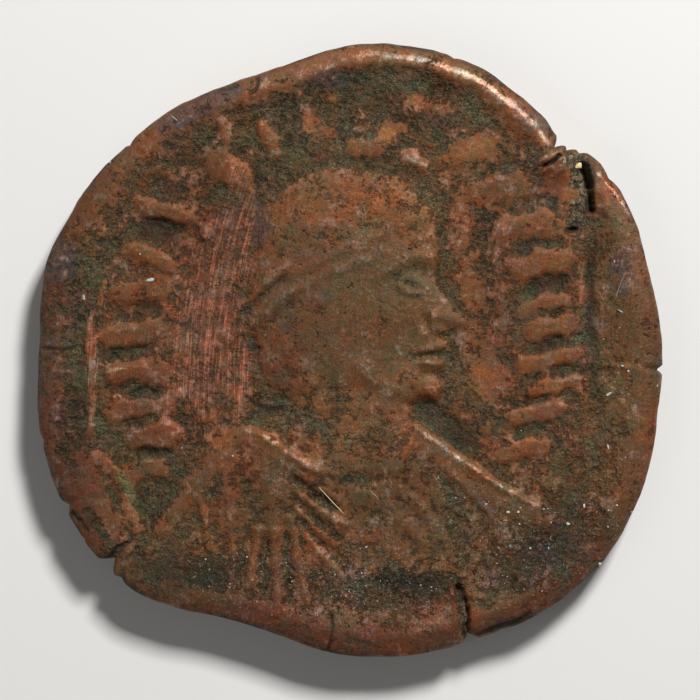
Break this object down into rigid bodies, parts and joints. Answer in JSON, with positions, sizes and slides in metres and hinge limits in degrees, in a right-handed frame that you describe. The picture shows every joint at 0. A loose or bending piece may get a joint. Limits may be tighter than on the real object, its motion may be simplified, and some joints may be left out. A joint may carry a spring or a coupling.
{
  "type": "struck coin",
  "caption": "Thick round copper coin, hand struck and worn, with a draped bust in profile inside a row of strokes and a cross behind.",
  "frame": {"origin": "on the worn high points of the reverse, at the middle of the coin's width and height", "axes": "+Z out of the obverse, +Y towards the top of the bust, +X the way the bust faces"},
  "size_m": [0.0314, 0.0308, 0.003],
  "materials": {
    "copper": "worn, with brown and olive patina"
  },
  "bodies": {
    "root": {"coin": "copper"}
  },
  "joints": []
}
